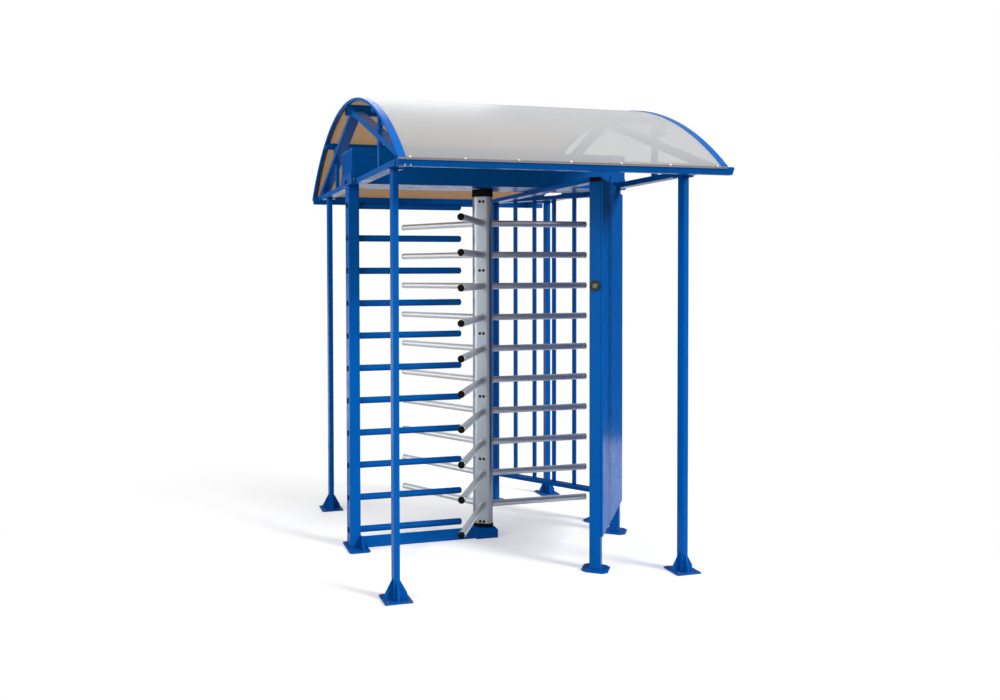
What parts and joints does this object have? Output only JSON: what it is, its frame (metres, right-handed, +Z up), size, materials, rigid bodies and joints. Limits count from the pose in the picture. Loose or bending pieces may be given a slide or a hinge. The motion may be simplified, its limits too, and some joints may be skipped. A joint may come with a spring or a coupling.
{
  "type": "full-height turnstile with canopy roof",
  "caption": "Full-height turnstile with a comb barrier, a winged rotor, a caged side and a barrel-vault canopy on posts.",
  "frame": {"origin": "on the floor under the middle of the canopy", "axes": "+X along the canopy from the comb post towards the cage, +Y from front to back, +Z up"},
  "size_m": [1.7386, 2.388, 2.5678],
  "materials": {
    "blue_paint": "glossy powder coat",
    "satin_metal": "satin",
    "black_plastic": "matt",
    "polycarbonate": "translucent bronze sheet",
    "lock_brass": "worn"
  },
  "bodies": {
    "frame": {"post_front_left": "blue_paint", "post_front_right": "blue_paint", "post_rear_left": "blue_paint", "post_rear_right": "blue_paint", "foot_front_left": "blue_paint", "foot_front_right": "blue_paint", "foot_rear_left": "blue_paint", "foot_rear_right": "blue_paint", "tie_left": "blue_paint", "tie_right": "blue_paint", "diagonals_left": "blue_paint", "diagonals_right": "blue_paint", "struts_left": "blue_paint", "struts_right": "blue_paint", "arch_left": "blue_paint", "arch_right": "blue_paint", "edge_strip_left": "blue_paint", "edge_strip_right": "blue_paint", "eave_front": "blue_paint", "eave_rear": "blue_paint", "purlin_ridge": "blue_paint", "purlins_mid": "blue_paint", "header_box": "blue_paint", "comb_post": "blue_paint", "comb_arms": "blue_paint", "base_beam": "blue_paint", "bearing_block": "blue_paint", "cage_post_front": "blue_paint", "cage_post_side_front": "blue_paint", "cage_post_side_rear": "blue_paint", "cage_post_rear": "blue_paint", "floor_plates": "blue_paint", "cage_rails": "blue_paint", "top_rail": "blue_paint", "panel_front": "blue_paint", "cage_bars": "blue_paint", "roof_sheet": "polycarbonate", "lock_disc": "lock_brass"},
    "rotor": {"rotor_column": "satin_metal", "rotor_collar_top": "black_plastic", "rotor_collar_base": "black_plastic", "rotor_wing_front": "satin_metal", "rotor_wing_rear": "satin_metal", "rotor_wing_side": "satin_metal", "rotor_arm_caps": "black_plastic"}
  },
  "joints": [
    {"name": "rotor_spin", "type": "hinge", "parent": "frame", "child": "rotor", "pos_m": [-0.019, 0.022, 0], "axis": [0, 0, 1], "continuous": true}
  ]
}
